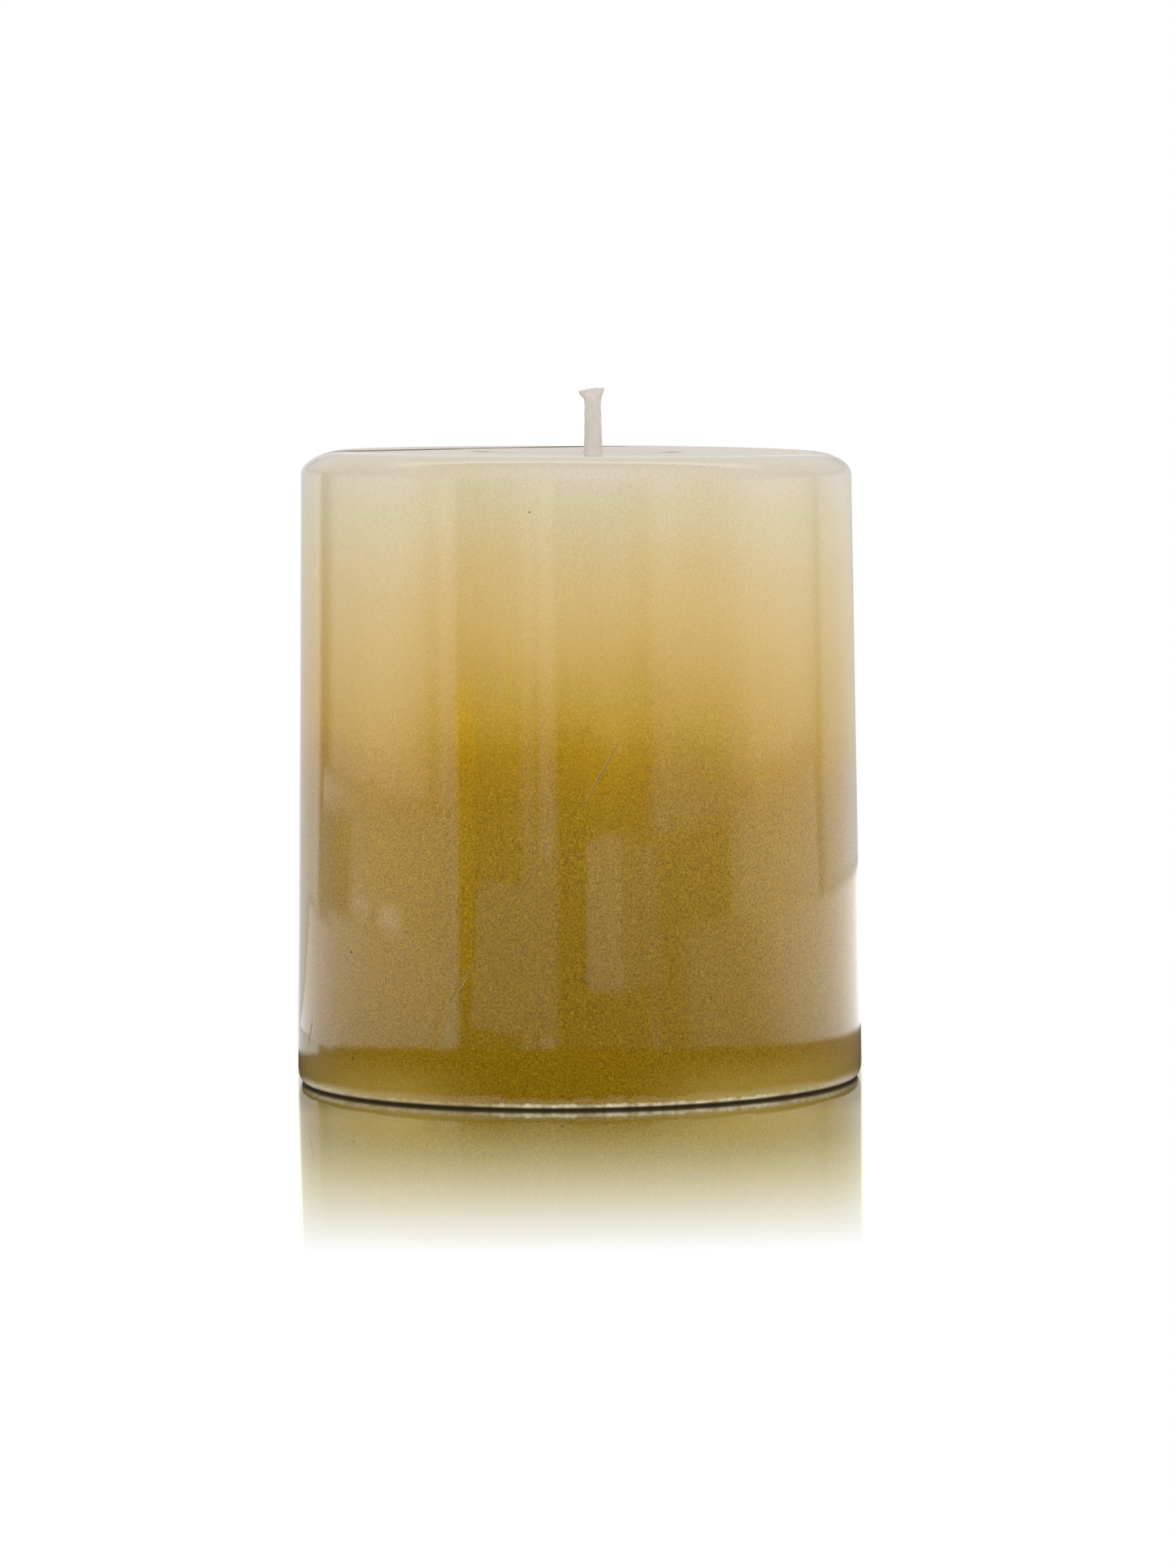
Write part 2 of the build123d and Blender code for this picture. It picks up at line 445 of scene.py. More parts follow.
# Height in millimetres and the colour the lacquered side has there, from the base up
OMBRE = [
    (0.0, (142, 110, 1)),
    (8.0, (146, 112, 1)),
    (20.0, (149, 115, 12)),
    (32.0, (158, 123, 20)),
    (38.0, (162, 124, 8)),
    (42.0, (171, 130, 9)),
    (45.0, (179, 138, 14)),
    (49.0, (193, 153, 49)),
    (53.0, (200, 163, 72)),
    (61.0, (210, 178, 105)),
    (69.0, (215, 189, 131)),
    (77.0, (218, 201, 159)),
    (83.0, (220, 209, 187)),
]

# How high the ombre stands: it is tilted, and it wanders with soft vertical streaks and broad clouds
DIP_LEVEL = 1.9  # millimetres it stands lower at the sides than the table above says
DIP_TILT = 3.2  # millimetres it stands higher at the front than at the sides, and lower at the back
DIP_TURN = 0.35  # radians from the front, towards -X, to where it stands highest
STREAK_SHIFT = 9.0
CLOUD_SHIFT = 6.0
GOLD_FADE = (30.0, 66.0)  # places in the ombre where the flake starts to thin and where it has gone

# Runs of thicker lacquer down the side: (around, half width, from, to) in millimetres, and how strong
RUNS = [
    (-15.2, 2.0, 12.0, 58.0, 0.8),
    (-9.0, 0.8, 20.0, 66.0, 0.2),
    (-6.6, 0.6, 30.0, 66.0, 0.15),
    (1.6, 1.3, 30.0, 52.0, 0.3),
    (27.0, 1.5, 20.0, 48.0, 0.15),
    (-41.0, 2.0, 20.0, 56.0, 0.3),
    (58.0, 2.4, 15.0, 58.0, 0.7),
    (79.0, 1.2, 25.0, 60.0, 0.3),
    (101.0, 1.8, 10.0, 56.0, 0.6),
    (-72.0, 1.4, 20.0, 58.0, 0.4),
    (-98.0, 2.2, 12.0, 54.0, 0.7),
]
RUN_TINT = (1.12, 1.08, 0.45)
RUN_FADE = 8.0  # millimetres over which a run fades in and out along its length

# Scratches on the unrolled side: (around, up) to (around, up), and width, in millimetres
SCRATCHES = [
    ((6.5, 49.2), (0.1, 38.3), 0.24),
    ((-3.7, 34.3), (-13.4, 19.7), 0.28),
    ((-2.6, 33.0), (-11.6, 18.6), 0.22),
    ((-13.4, 19.7), (-19.2, 11.5), 0.26),
    ((5.8, 29.4), (8.6, 30.6), 0.22),
    ((-48.2, 5.6), (-45.6, 10.4), 0.9),
]

# Dark specks on the unrolled side: (around, up, radius)
SPECKS = [(-2.4, 1.9, 0.3), (-34.5, 5.5, 0.35), (-34.8, 19.5, 0.3), (-5.9, 77.5, 0.2)]

# painted glint: the pale colour given to flake where it would catch the light
PAINTED_GLINT_COLOUR = srgb(226, 206, 150)  # a flake that lies flat to the light
THIN_GOLD = srgb(208, 180, 88)
# exposed ivory wax at the base, painted bright as a highlight along the roll
BARE_IVORY_HIGHLIGHT = srgb(250, 238, 200)
# painted shade: dark brown at the foot of the roll, where it meets the floor
PAINTED_BASE_SHADE = srgb(96, 68, 16)
SCRATCH_EDGE = srgb(206, 182, 118)
SCRATCH_CORE = srgb(92, 66, 8)


def ombre_and_gold(graph, point, angle, height):
    """Colour of the lacquered side, and 0 to 1 for how much gold it holds."""
    streaks = graph.noise(graph.stretched(point, (0.10, 0.10, 0.006)), 1.0, 3.0, 0.55)
    clouds = graph.noise(graph.stretched(point, (0.05, 0.05, 0.05)), 1.0, 2.0)
    shift = graph.math("MULTIPLY", graph.math("SUBTRACT", streaks, 0.5), STREAK_SHIFT)
    drift = graph.math("MULTIPLY", graph.math("SUBTRACT", clouds, 0.5), CLOUD_SHIFT)
    frontness = graph.math("COSINE", graph.math("ADD", angle, DIP_TURN))
    tilt = graph.math("SUBTRACT", DIP_LEVEL, graph.math("MULTIPLY", frontness, DIP_TILT))
    level = graph.math("ADD", graph.math("ADD", height, tilt), graph.math("ADD", shift, drift))
    top = OMBRE[-1][0]
    share = graph.math("DIVIDE", level, top, clamp=True)
    ombre = graph.ramp(share, [(place / top, srgb(*colour)) for place, colour in OMBRE])
    return ombre, graph.step(level, *GOLD_FADE, 1.0, 0.0)


def with_runs(graph, colour, around, height):
    """The colour with a fuller yellow where the lacquer ran thick."""
    for place, half_width, low, high, depth in RUNS:
        off_centre = graph.math("ABSOLUTE", graph.math("SUBTRACT", around, place))
        across = graph.step(off_centre, 0.4 * half_width, half_width, depth, 0.0)
        below_top = graph.step(height, high - RUN_FADE, high, 1.0, 0.0)
        along = graph.math("MULTIPLY", graph.step(height, low, low + RUN_FADE), below_top)
        run = graph.math("MULTIPLY", across, along)
        colour = graph.blend(run, colour, graph.blend(1.0, colour, rgba(RUN_TINT), "MULTIPLY"))
    return colour


def with_flake(graph, colour, point, gold):
    """The colour with fine metal flake, painted glints on a few flake cells and in the grain, and the flake's
    grain.
    """
    grain = graph.noise(graph.stretched(point, (3.9, 3.9, 4.2)), 1.0, 3.0, 0.65)
    # painted glints: a few flake cells are turned pale, as if catching the light
    cells = graph.add("ShaderNodeTexVoronoi", {"Vector": point, "Scale": 2.6}, feature="F1")
    dot = graph.step(cells.outputs["Distance"], 0.05, 0.22, 1.0, 0.0)
    lot = graph.add("ShaderNodeSeparateColor", {0: cells.outputs["Color"]}).outputs[0]
    chosen = graph.math("GREATER_THAN", lot, 0.93)
    painted_glint_flecks = graph.math("MULTIPLY", graph.math("MULTIPLY", dot, chosen), gold)
    grain_level = graph.step(grain, 0.2, 0.8, 0.45, 1.55)
    even = graph.blend(1.0, colour, grain_level, "MULTIPLY")
    grained = graph.blend(graph.math("MAXIMUM", gold, 0.2), colour, even)
    # painted glints: the grain's brightest spots are turned pale
    glint = graph.math("MULTIPLY", gold, graph.step(grain, 0.58, 0.8, 0.0, 0.1))
    grained = graph.blend(glint, grained, rgba(PAINTED_GLINT_COLOUR))
    return graph.blend(graph.math("MULTIPLY", painted_glint_flecks, 0.6), grained, rgba(PAINTED_GLINT_COLOUR)), grain


def with_base_edge(graph, colour, unrolled, angle, height):
    """The colour low down: thin gold in three places, exposed ivory wax under a ragged line brightened as a
    painted highlight, strongest at the front, and painted shade at the foot of the roll.
    """
    lobes = graph.math("COSINE", graph.math("MULTIPLY", graph.math("ADD", angle, 0.08), 3.0))
    in_lobe = graph.step(lobes, -0.3, 0.95, 1.0, 0.0)
    thin = graph.math("MULTIPLY", graph.step(height, 0.8, 7.0, 0.4, 0.0), in_lobe)
    colour = graph.blend(thin, colour, rgba(THIN_GOLD))
    ragged = graph.noise(graph.stretched(unrolled, (0.9, 0.6, 1.0)), 1.0, 2.0, 0.6)
    line = graph.math("ADD", 0.4, graph.math("MULTIPLY", ragged, 0.7))
    under_line = graph.step(graph.math("SUBTRACT", height, line), -0.2, 0.2, 1.0, 0.0)
    patches = graph.noise(graph.stretched(unrolled, (0.35, 0.1, 1.0)), 1.0, 2.0, 0.7)
    patchy = graph.step(patches, 0.35, 0.62, 0.3, 1.0)
    from_front = graph.math("ABSOLUTE", graph.math("SUBTRACT", angle, 0.25))
    shown = graph.math("MULTIPLY", patchy, graph.step(from_front, 0.35, 0.7, 1.0, 0.4))
    # exposed ivory wax along the base roll, brightened as a painted highlight that is strongest at the front
    bare_and_highlight = graph.math("MULTIPLY", under_line, shown)
    colour = graph.blend(bare_and_highlight, colour, rgba(BARE_IVORY_HIGHLIGHT))
    # painted shade along the foot of the roll, where the gloss coat is also left off
    shaded_corner = graph.step(height, 0.2, 0.45, 0.9, 0.0)
    return graph.blend(shaded_corner, colour, rgba(PAINTED_BASE_SHADE)), bare_and_highlight, shaded_corner


def with_marks(graph, colour, unrolled):
    """The colour with its scratches, raised pale edges round a dark core, and a few dark specks."""
    edges = 0.0
    cores = 0.0
    for start, end, width in SCRATCHES:
        edges = graph.math("MAXIMUM", edges, graph.scratch(unrolled, start, end, width))
        cores = graph.math("MAXIMUM", cores, graph.scratch(unrolled, start, end, 0.6 * width))
    for place, up, radius in SPECKS:
        gap = graph.add("ShaderNodeVectorMath", {0: unrolled, 1: (place, up, 0.0)}, operation="DISTANCE")
        speck = graph.step(gap.outputs["Value"], 0.5 * radius, radius, 1.0, 0.0)
        cores = graph.math("MAXIMUM", cores, speck)
    colour = graph.blend(graph.math("MULTIPLY", edges, 0.35), colour, rgba(SCRATCH_EDGE))
    return graph.blend(graph.math("MULTIPLY", cores, 0.65), colour, rgba(SCRATCH_CORE)), edges, cores


def lacquer_material():
    """Ivory wax under gold flake that thins out with height, all under a hard clear gloss."""
    material, graph, shader = new_material("gold_ombre_lacquer")
    point = object_millimetres(graph)
    x, y, height = graph.add("ShaderNodeSeparateXYZ", {0: point}).outputs
    angle = graph.math("ARCTAN2", x, graph.math("MULTIPLY", y, -1.0))
    around = graph.math("MULTIPLY", angle, WIDEST_RADIUS)
    unrolled = graph.add("ShaderNodeCombineXYZ", {0: around, 1: height, 2: 0.0}).outputs[0]
    colour, gold = ombre_and_gold(graph, point, angle, height)
    colour = with_runs(graph, colour, around, height)
    colour, grain = with_flake(graph, colour, point, gold)
    colour, bare_and_highlight, shaded_corner = with_base_edge(graph, colour, unrolled, angle, height)
    colour, edges, cores = with_marks(graph, colour, unrolled)
    gold = graph.math("MULTIPLY", gold, graph.math("SUBTRACT", 1.0, bare_and_highlight))
    flake_bump = graph.bump(graph.math("MULTIPLY", grain, gold), 0.00006, 0.5)
    peel = graph.noise(graph.stretched(point, (0.22, 0.22, 0.22)), 1.0, 1.0)
    dents = graph.math("MULTIPLY", edges, 0.25)
    coat_height = graph.math("SUBTRACT", graph.math("MULTIPLY", peel, 0.35), dents)
    broken = graph.math("MAXIMUM", shaded_corner, graph.math("MULTIPLY", cores, 0.8))
    wire(
        graph,
        shader,
        Base_Color=colour,
        Metallic=graph.math("MULTIPLY", gold, 0.35),
        Roughness=graph.step(gold, 0.0, 1.0, 0.5, 0.35),
        Specular_IOR_Level=0.1,
        Normal=flake_bump,
        Subsurface_Weight=graph.step(gold, 0.0, 1.0, 0.25, 0.0),
        Subsurface_Radius=(0.004, 0.0025, 0.0015),
        Coat_Weight=graph.math("SUBTRACT", 1.0, broken),
        Coat_Roughness=0.03,
        Coat_IOR=1.5,
        Coat_Normal=graph.bump(coat_height, 0.0001, 0.4),
    )
    return material


STAIN_EDGE = (1.4, 0.8)  # millimetres in from the widest radius where the gold stain starts and is full
STAIN_GOLD = srgb(140, 108, 38)


def wax_material(name, colour, grain_scale, roughness, stained):
    """Satin wax with faint mottling and fine pits; stained wax has gold creeping in at the base edge."""
    material, graph, shader = new_material(name)
    point = object_millimetres(graph)
    mottle = graph.noise(graph.stretched(point, (0.12, 0.12, 0.12)), 1.0, 3.0)
    darker = tuple(channel * 0.9 for channel in colour)
    lighter = tuple(channel * 1.06 for channel in colour)
    tone = graph.blend(mottle, rgba(darker), rgba(lighter))
    pits = graph.noise(graph.stretched(point, (grain_scale,) * 3), 1.0, 3.0, 0.6)
    if stained:
        flat = graph.stretched(point, (1.0, 1.0, 0.0))
        radius = graph.add("ShaderNodeVectorMath", {0: flat}, operation="LENGTH").outputs["Value"]
        creep = graph.noise(graph.stretched(point, (0.35, 0.35, 0.35)), 1.0, 3.0, 0.6)
        edge = graph.math("ADD", radius, graph.math("MULTIPLY", creep, 3.0))
        starts, full = (WIDEST_RADIUS - inward for inward in STAIN_EDGE)
        stain = graph.step(edge, starts, full, 0.0, 0.85)
        tone = graph.blend(stain, tone, rgba(STAIN_GOLD))
    wire(
        graph,
        shader,
        Base_Color=tone,
        Roughness=graph.step(pits, 0.2, 0.8, roughness - 0.06, roughness + 0.08),
        Normal=graph.bump(pits, 0.00012, 0.5),
        Subsurface_Weight=0.3,
        Subsurface_Radius=(0.004, 0.0028, 0.0018),
    )
    return material


def wick_wax_material():
    """Milky primer wax, thin enough to show the plait as faint lengthwise ribs."""
    material, graph, shader = new_material("wick_primer_wax")
    point = object_millimetres(graph)
    ribs = graph.noise(graph.stretched(point, (3.2, 3.2, 0.5)), 1.0, 2.0)
    fuzz = graph.noise(graph.stretched(point, (9.0, 9.0, 2.5)), 1.0, 3.0, 0.6)
    tone = graph.blend(ribs, rgba(srgb(218, 209, 201)), rgba(srgb(236, 229, 222)))
    wire(
        graph,
        shader,
        Base_Color=tone,
        Roughness=graph.step(fuzz, 0.2, 0.8, 0.38, 0.55),
        Normal=graph.bump(fuzz, 0.00006, 0.5),
        Subsurface_Weight=0.35,
        Subsurface_Radius=(0.0012, 0.001, 0.0008),
        Coat_Weight=0.25,
        Coat_Roughness=0.25,
    )
    return material


def cotton_material():
    """Waxed cotton yarn: twisted fibre grain along each strand."""
    material, graph, shader = new_material("cotton_yarn")
    point = object_millimetres(graph)
    fibres = graph.noise(graph.stretched(point, (14.0, 14.0, 3.0)), 1.0, 4.0, 0.65)
    tone = graph.blend(fibres, rgba(srgb(196, 184, 172)), rgba(srgb(232, 226, 216)))
    wire(
        graph,
        shader,
        Base_Color=tone,
        Roughness=0.8,
        Normal=graph.bump(fibres, 0.00008, 0.8),
        Sheen_Weight=0.4,
    )
    return material


def tinned_steel_material():
    """Bright tinned sheet with rolling lines and a few dull spots."""
    material, graph, shader = new_material("tinned_steel")
    point = object_millimetres(graph)
    lines = graph.noise(graph.stretched(point, (6.0, 0.3, 6.0)), 1.0, 2.0)
    spots = graph.noise(graph.stretched(point, (0.8, 0.8, 0.8)), 1.0, 3.0)
    wire(
        graph,
        shader,
        Base_Color=graph.blend(spots, rgba(srgb(186, 187, 184)), rgba(srgb(214, 214, 210))),
        Metallic=1.0,
        Roughness=graph.step(lines, 0.2, 0.8, 0.22, 0.42),
        Normal=graph.bump(lines, 0.00003, 0.3),
    )
    return material


# ---------------------------------------------------------------- studio

# What stands round the candle at the height of the horizon: (degrees round from the camera, brightness).
# Soft boxes stand to both sides, a pale sweep behind, and the room in front is dark.
HORIZON = [
    (-180.0, 0.95), (-164.0, 0.7), (-146.0, 0.8), (-136.0, 1.1), (-132.0, 0.2),
    (-127.0, 0.2), (-120.0, 1.0), (-84.0, 1.7), (-68.0, 1.5), (-61.0, 0.85), (-57.0, 1.6), (-52.0, 1.3),
    (-49.0, 0.1), (-24.0, 0.2), (-21.0, 0.7), (-18.5, 0.7), (-17.0, 0.3), (-15.0, 1.1), (-11.0, 1.0),
    (-8.0, 0.12), (28.0, 0.22), (33.0, 1.0), (62.0, 0.8), (77.0, 1.65), (98.0, 1.75),
    (113.0, 1.15), (118.0, 0.5), (124.0, 1.1), (149.0, 0.95), (165.0, 0.7), (174.0, 0.6), (180.0, 0.95),
]

# What stands straight behind the candle, from the horizon up: (degrees up, colour)
REAR_LOW, REAR_HIGH = -1.0, 60.0
WARM_WALL = (0.73, 0.68, 0.6)
REAR = [
    (-1.0, (0.12, 0.12, 0.12)), (0.45, (0.12, 0.12, 0.12)), (0.8, WARM_WALL), (6.5, WARM_WALL),
    (7.0, (1.0, 1.0, 1.0)), (10.0, (1.0, 1.0, 1.0)), (15.0, (0.8, 0.8, 0.8)),
    (44.0, (0.8, 0.8, 0.8)), (48.0, (1.7, 1.65, 1.5)),
    (54.0, (1.7, 1.65, 1.5)), (57.0, (0.3, 0.3, 0.3)),
]
CEILING = 0.55
SCATTERED_SHARE = 0.75  # of the horizon's light that the wax and the flake pick up

# Where one of these gives way to the next: degrees up, and degrees round either way for the rear
TO_CEILING = (2.0, 12.0)
TO_LAMP = (10.0, 18.0)
TO_HIGH_REAR = (9.0, 18.0)
LOW_REAR_SIDES = (172.0, 177.0)
HIGH_REAR_SIDES = (105.0, 150.0)

# The big light over the camera: brightness by degrees round either way, and its share by degrees up
LAMP_PLACE = 2.0  # degrees round from the camera
LAMP_ROUND = [(0.0, 2.5), (50.0, 2.05), (80.0, 0.5), (110.0, 0.35), (140.0, 0.4), (180.0, 0.4)]
LAMP_UP = [(0.0, 1.0), (28.0, 1.0), (45.0, 0.4), (60.0, 0.5), (90.0, 0.9)]


def lookup(graph, value, low, high, stops):
    """Brightness or colour looked up in (value, level) stops between low and high."""
    share = graph.math("DIVIDE", graph.math("SUBTRACT", value, low), high - low, clamp=True)
    colours = [level if isinstance(level, tuple) else (level,) * 3 for _, level in stops]
    places = [(place - low) / (high - low) for place, _ in stops]
    return graph.ramp(share, list(zip(places, colours)))


def degrees_round(graph, x, y):
    """Degrees round the candle's axis from the camera's side, positive towards +X."""
    return graph.math("DEGREES", graph.math("ARCTAN2", x, graph.math("MULTIPLY", y, -1.0)))


def studio_world():
    """White to the camera; soft boxes, a pale sweep and a dim room to everything else."""
    world = bpy.data.worlds.new("studio")
    bpy.context.scene.world = world
    world.use_nodes = True
    graph = Graph(world.node_tree)
    direction = graph.add("ShaderNodeTexCoord").outputs["Generated"]
    x, y, z = graph.add("ShaderNodeSeparateXYZ", {0: direction}).outputs
    azimuth = degrees_round(graph, x, y)
    elevation = graph.math("DEGREES", graph.math("ARCSINE", z))
    horizon = lookup(graph, azimuth, -180.0, 180.0, HORIZON)
    either_way = graph.math("ABSOLUTE", azimuth)
    from_lamp = graph.math("ABSOLUTE", graph.math("SUBTRACT", azimuth, LAMP_PLACE))
    lamp = graph.blend(
        1.0,
        lookup(graph, from_lamp, 0.0, 180.0, LAMP_ROUND),
        lookup(graph, elevation, 0.0, 90.0, LAMP_UP),
        "MULTIPLY",
    )
    light_path = graph.add("ShaderNodeLightPath")
    mirrored = graph.blend(graph.step(elevation, *TO_CEILING), horizon, rgba((CEILING,) * 3))
    soft_light = graph.blend(1.0, horizon, rgba((SCATTERED_SHARE,) * 3), "MULTIPLY")
    scattered = graph.blend(graph.step(elevation, *TO_LAMP), soft_light, lamp)
    front = graph.blend(light_path.outputs["Is Diffuse Ray"], mirrored, scattered)
    rear = lookup(graph, elevation, REAR_LOW, REAR_HIGH, REAR)
    above_floor = graph.step(elevation, REAR_LOW - 0.3, REAR_LOW)
    low_rear = graph.math("MULTIPLY", graph.step(either_way, *LOW_REAR_SIDES), above_floor)
    high_sides = graph.step(either_way, *HIGH_REAR_SIDES)
    high_rear = graph.math("MULTIPLY", high_sides, graph.step(elevation, *TO_HIGH_REAR))
    studio = graph.blend(graph.math("MAXIMUM", low_rear, high_rear), front, rear)
    lit = graph.add("ShaderNodeBackground", {"Color": studio}).outputs[0]
    white = graph.add("ShaderNodeBackground", {"Color": rgba((1.0, 1.0, 1.0))}).outputs[0]
    seen = light_path.outputs["Is Camera Ray"]
    mixed = graph.add("ShaderNodeMixShader", {0: seen, 1: lit, 2: white}).outputs[0]
    graph.add("ShaderNodeOutputWorld", {"Surface": mixed})


FLOOR_SIZE = 4.0
FLOOR_GAP = 0.03  # millimetres that the floor lies under the base plane

# The floor as the camera sees it: white, with the candle's image in it
MIRROR_REACH = 0.129
MIRROR_STRENGTH = 0.99
MIRROR_FADE = 1.4
IMAGE_NARROWING = 0.042  # the candle's image in the floor narrows this much towards the camera
IMAGE_EDGE = (0.0008, 0.0012)  # metres past the contact line's ends, from where to where it ends
# painted reflection: the white floor right in front of the candle is tinted gold
PAINTED_GOLD_REFLECTION = (1.0, 0.94, 0.3)  # tint of the white floor right in front of the gold
PAINTED_REFLECTION_END = (-0.02, 0.01)  # along Y, from where to where the tint ends
# painted shade: right under the candle the mirror's image is darkened to the level below
MIRROR_SHADE_REACH = (0.002, 0.018)  # right under the candle the mirror is duller
MIRROR_SHADE_LEVEL = 0.68
FRONT_VIEW = (-0.985, -0.94)  # the eye's direction, along Y, from where to where it counts as aside
ASIDE_LOSS = 0.75  # of the mirror's strength, when looked at from aside
MIRROR_VIEW = (0.15, 0.42)  # height of the eye, as a sine, from where to where the mirror weakens
MIRROR_STEEP = 0.05  # its strength when looked at from above
WHITE = (1.0, 1.0, 1.0)

# What lies on the table round the candle: (from degrees, to degrees, near, far, softness of its sides
# in degrees, brightness), in metres
TABLE = [
    (28.0, 62.0, 0.05, 0.66, 2.0, 0.3),
    (-128.0, -52.0, 0.30, 0.75, 2.0, 1.0),
    (66.0, 112.0, 0.30, 0.75, 2.0, 1.25),
    (-129.0, -104.0, 0.28, 0.60, 4.0, 0.35),
    (-101.0, -91.0, 0.34, 0.39, 4.0, 1.9),
    (-85.0, -75.0, 0.31, 0.385, 4.0, 2.4),
    (-118.0, -52.0, 0.05, 0.31, 4.0, 1.2),
    (-142.0, -104.0, 0.05, 0.29, 4.0, 1.1),
    (-41.0, -9.0, 0.12, 0.50, 1.5, 0.62),
    (3.0, 18.0, 0.20, 0.66, 1.5, 0.95),
    (17.0, 31.0, 0.20, 0.66, 1.5, 0.55),
    (40.0, 110.0, 0.04, 0.31, 6.0, 0.7),
    (76.0, 180.0, 0.03, 0.31, 14.0, 1.45),
]
EDGE_SOFTNESS = 0.1  # of each distance
STEEP_VIEW = (0.65, 0.88)  # how far a ray is from steep, from where to where it stops counting as steep
STEEP_BRIGHTNESS = 0.9  # of the table to a ray that meets it steeply
CONTACT_DARK = 0.05  # the share of the table's light that is left at the contact line
CONTACT_SHADE = 0.0016  # how far the dark of the contact line reaches outwards
UNDER_EDGE = (-0.004, -0.002)  # and where it ends inwards, so that the underside has light to be seen by

# The dark plate under the candle: round, with a straight back edge
PLATE_PLACE = (-0.002, -0.030, 0.0)
PLATE_RADIUS = 0.104
PLATE_EDGE = 0.006
PLATE_BACK = 0.052  # its straight back edge, from the candle's axis
PLATE_TURN = 0.46  # radians that this edge is turned round
PLATE_LEFT = (0.05, 0.04, 0.025)
PLATE_RIGHT = (0.17, 0.14, 0.10)
PLATE_SPREAD = (0.0, 0.1)  # along X, from where to where the left colour turns into the right one


def table_light(graph, azimuth, distance):
    """Brightness of the table, and 0 to 1 for where it lies at all."""
    level = rgba((0.0, 0.0, 0.0))
    cover = 0.0
    for start, end, near, far, soft, brightness in TABLE:
        sides = graph.math(
            "MULTIPLY",
            graph.step(azimuth, start - soft, start + soft),
            graph.step(azimuth, end - soft, end + soft, 1.0, 0.0),
        )
        near_edge = EDGE_SOFTNESS * near
        far_edge = EDGE_SOFTNESS * far
        depth = graph.math(
            "MULTIPLY",
            graph.step(distance, near - near_edge, near + near_edge),
            graph.step(distance, far - far_edge, far + far_edge, 1.0, 0.0),
        )
        share = graph.math("MULTIPLY", sides, depth)
        level = graph.blend(share, level, rgba((brightness,) * 3))
        cover = graph.math("MAXIMUM", cover, share)
    return level, cover


def floor_mirror(graph, x, y, distance, eye_axes):
    """The floor to the camera: a soft mirror near the candle that fades to plain white, with a painted gold
    reflection tinting the white in front of the candle and painted shade darkening the mirror right under it.
    """
    contact = (WIDEST_RADIUS - ROLL_WIDTH) * MM
    away = graph.math("DIVIDE", distance, MIRROR_REACH, clamp=True)
    faded = graph.math("SUBTRACT", 1.0, graph.math("POWER", away, MIRROR_FADE))
    eye_aside = graph.step(eye_axes["Y"], *FRONT_VIEW)
    eye_above = graph.step(eye_axes["Z"], *MIRROR_VIEW)
    off_image = graph.math("SUBTRACT", graph.math("ABSOLUTE", x), graph.math("MULTIPLY", y, IMAGE_NARROWING))
    beside = graph.step(off_image, *(contact + edge for edge in IMAGE_EDGE))
    lost = graph.blend(eye_aside, beside, rgba((ASIDE_LOSS,) * 3))
    grazing = graph.step(eye_axes["Z"], *MIRROR_VIEW, MIRROR_STRENGTH, MIRROR_STEEP)
    mirror = graph.math("MULTIPLY", faded, grazing)
    mirror = graph.math("MULTIPLY", mirror, graph.math("SUBTRACT", 1.0, lost))
    off_front = graph.math("MAXIMUM", beside, graph.step(y, *PAINTED_REFLECTION_END))
    off_front = graph.math("MAXIMUM", off_front, eye_aside)
    untinted = graph.math("MAXIMUM", off_front, graph.math("MAXIMUM", away, eye_above))
    # painted reflection: gold tint on the white in front of the candle
    painted_reflection_tint = graph.blend(untinted, rgba(PAINTED_GOLD_REFLECTION), rgba(WHITE))
    white = graph.add("ShaderNodeEmission", {"Color": painted_reflection_tint}).outputs[0]
    # painted shade: the mirror's colour is darkened right under the candle, in front
    painted_mirror_shade = graph.math("MAXIMUM", off_front, graph.step(distance, *MIRROR_SHADE_REACH, MIRROR_SHADE_LEVEL, 1.0))
    gloss = graph.add("ShaderNodeBsdfGlossy", {"Color": painted_mirror_shade, "Roughness": 0.02}).outputs[0]
    return graph.add("ShaderNodeMixShader", {0: mirror, 1: white, 2: gloss}).outputs[0]


def on_plate(graph, point, x, y):
    """0 to 1 for where the dark plate lies."""
    from_plate = graph.add("ShaderNodeVectorMath", {0: point, 1: PLATE_PLACE}, operation="DISTANCE")
    beyond_rim = graph.math("SUBTRACT", from_plate.outputs["Value"], PLATE_RADIUS)
    rightwards = graph.math("MULTIPLY", x, -math.sin(PLATE_TURN))
    backwards = graph.math("ADD", rightwards, graph.math("MULTIPLY", y, math.cos(PLATE_TURN)))
    beyond_back = graph.math("SUBTRACT", backwards, PLATE_BACK)
    beyond = graph.math("MAXIMUM", beyond_rim, beyond_back)
    return graph.step(beyond, -PLATE_EDGE, PLATE_EDGE, 1.0, 0.0)


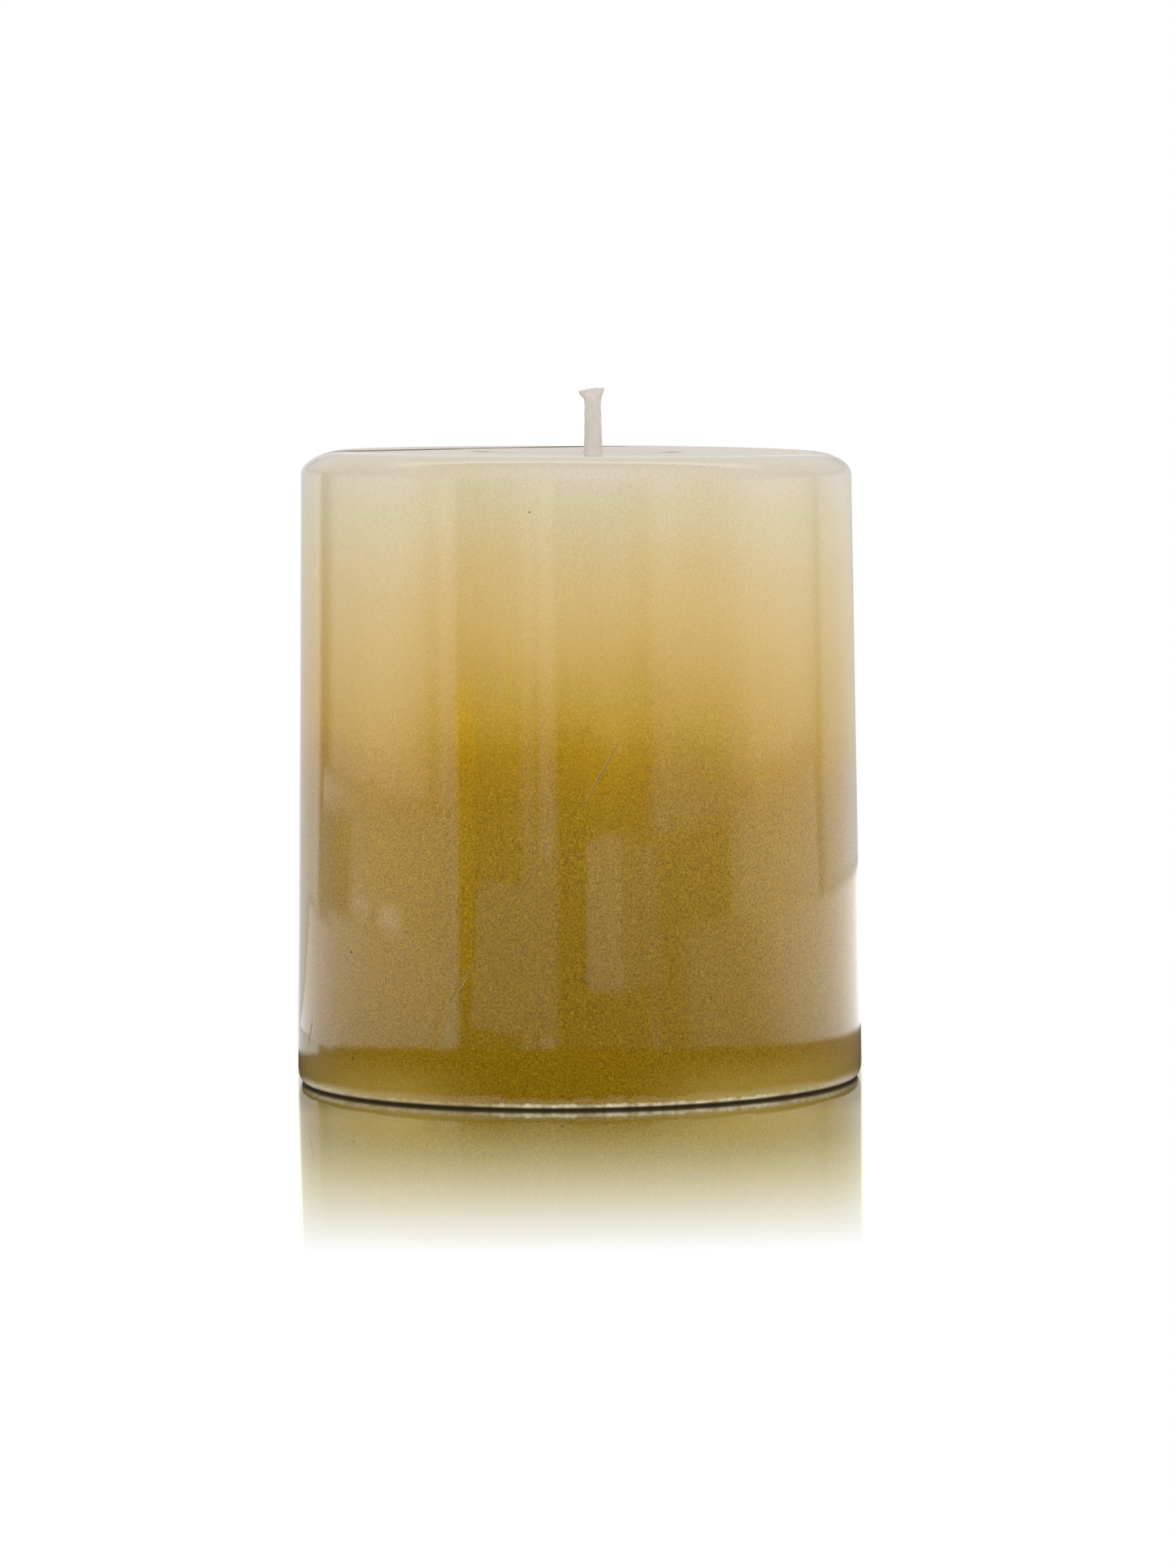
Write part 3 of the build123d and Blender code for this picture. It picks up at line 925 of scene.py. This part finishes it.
def floor_light(graph, point, x, y, distance):
    """The floor to light and reflections: the table, the plate and the dark contact line, clear elsewhere."""
    level, cover = table_light(graph, degrees_round(graph, x, y), distance)
    plate = on_plate(graph, point, x, y)
    plate_level = graph.blend(graph.step(x, *PLATE_SPREAD), rgba(PLATE_LEFT), rgba(PLATE_RIGHT))
    level = graph.blend(plate, level, plate_level)
    cover = graph.math("MAXIMUM", cover, plate)
    facing = graph.add("ShaderNodeLayerWeight").outputs["Facing"]
    steep = graph.step(facing, *STEEP_VIEW, 1.0, 0.0)
    cover = graph.math("MAXIMUM", cover, steep)
    level = graph.blend(steep, level, rgba((STEEP_BRIGHTNESS,) * 3))
    outside = graph.step(distance, 0.0, CONTACT_SHADE, CONTACT_DARK, 1.0)
    inside = graph.step(distance, *UNDER_EDGE, 1.0, 0.0)
    strength = graph.math("MAXIMUM", outside, inside)
    table = graph.add("ShaderNodeEmission", {"Color": level, "Strength": strength}).outputs[0]
    beyond = graph.add("ShaderNodeBsdfTransparent").outputs[0]
    return graph.add("ShaderNodeMixShader", {0: cover, 1: beyond, 2: table}).outputs[0]


def floor_material():
    """Polished white floor to the camera, the studio's table to everything else, and clear from below."""
    material = bpy.data.materials.new("polished_white_floor")
    material.use_nodes = True
    graph = Graph(material.node_tree)
    geometry = graph.add("ShaderNodeNewGeometry").outputs
    point = geometry["Position"]
    x, y, _ = graph.add("ShaderNodeSeparateXYZ", {0: point}).outputs
    eye_axes = graph.add("ShaderNodeSeparateXYZ", {0: geometry["Incoming"]}).outputs
    radius = graph.add("ShaderNodeVectorMath", {0: point}, operation="LENGTH").outputs["Value"]
    distance = graph.math("SUBTRACT", radius, (WIDEST_RADIUS - ROLL_WIDTH) * MM)
    seen = floor_mirror(graph, x, y, distance, eye_axes)
    lighting = floor_light(graph, point, x, y, distance)
    camera_ray = graph.add("ShaderNodeLightPath").outputs["Is Camera Ray"]
    surface = graph.add("ShaderNodeMixShader", {0: camera_ray, 1: lighting, 2: seen}).outputs[0]
    from_below = graph.math("LESS_THAN", eye_axes["Z"], 0.0)
    clear = graph.add("ShaderNodeBsdfTransparent").outputs[0]
    surface = graph.add("ShaderNodeMixShader", {0: from_below, 1: surface, 2: clear}).outputs[0]
    graph.add("ShaderNodeOutputMaterial", {"Surface": surface})
    return material


def studio_floor():
    """A wide flat floor a hair under the candle's base."""
    half = FLOOR_SIZE / 2 / MM
    around = [(-half, -half), (half, -half), (half, half), (-half, half)]
    corners = [(x, y, -FLOOR_GAP) for x, y in around]
    floor = mesh_object("studio_floor", corners, [(0, 1, 2, 3)], floor_material())


CAMERA_DISTANCE = 0.9007
CAMERA_HEIGHT = 0.10597
CAMERA_DOWN = 0.07354  # radians, as are the next two
CAMERA_TURN = 0.00168
CAMERA_ROLL = -0.01093
LENS = 153.95  # millimetres, for a sensor as wide as the next value
SENSOR_WIDTH = 36.0


def camera():
    """The camera at the photograph's place: a long lens, a little above the candle's top."""
    forward = Vector((math.sin(CAMERA_TURN), math.cos(CAMERA_TURN), 0.0))
    right = Vector((math.cos(CAMERA_TURN), -math.sin(CAMERA_TURN), 0.0))
    up = Vector((0.0, 0.0, 1.0))
    ahead = forward * math.cos(CAMERA_DOWN) - up * math.sin(CAMERA_DOWN)
    above = forward * math.sin(CAMERA_DOWN) + up * math.cos(CAMERA_DOWN)
    tilted_right = right * math.cos(CAMERA_ROLL) + above * math.sin(CAMERA_ROLL)
    tilted_up = above * math.cos(CAMERA_ROLL) - right * math.sin(CAMERA_ROLL)
    turn = Matrix((tilted_right, tilted_up, -ahead)).transposed().to_4x4()
    lens = bpy.data.cameras.new("camera")
    lens.lens = LENS
    lens.sensor_width = SENSOR_WIDTH
    lens.clip_start = 0.05
    lens.clip_end = 20.0
    eye = bpy.data.objects.new("camera", lens)
    eye.matrix_world = Matrix.Translation((0.0, -CAMERA_DISTANCE, CAMERA_HEIGHT)) @ turn
    bpy.context.scene.collection.objects.link(eye)
    bpy.context.scene.camera = eye


# ---------------------------------------------------------------- assembly


def dress(node, material):
    """Gives a shown CAD node its material."""
    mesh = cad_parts[node].data
    mesh.materials.clear()
    mesh.materials.append(material)


def stand_in(piece, slot, *nodes):
    """Puts a finished piece in the place of CAD nodes, on the candle's one body."""
    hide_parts(*nodes)
    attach(piece, "root")


def build():
    """The four finished pieces, and the three CAD nodes that are shown as they are."""
    skin = skin_piece("lacquer_skin", 0.0, FILM_DEPTH, lacquer_material())
    stand_in(skin, "gold_lacquer", "clear_gloss_coat", "gold_lacquer_coat")
    overdip = wax_material("ivory_overdip", srgb(222, 210, 188), 1.6, 0.45, True)
    dip = skin_piece("overdip_skin", FILM_DEPTH, DIP_DEPTH - CORE_CLEARANCE, overdip)
    stand_in(dip, "ivory_overdip_wax", "overdip_shell")
    stand_in(wick_jacket(wick_wax_material()), "wick_wax", "wick_wax_coat")
    stand_in(cotton_braid(cotton_material()), "cotton_braid", "wick_braid")
    dress("wax_core", wax_material("core_wax", srgb(218, 206, 182), 0.9, 0.5, True))
    dress("sustainer_wax_seal", wax_material("seal_wax", srgb(224, 214, 194), 1.4, 0.42, False))
    dress("wick_sustainer", tinned_steel_material())


build()
studio_world()
studio_floor()
camera()
bpy.context.scene.view_settings.view_transform = "Standard"
bpy.context.scene.cycles.use_denoising = True
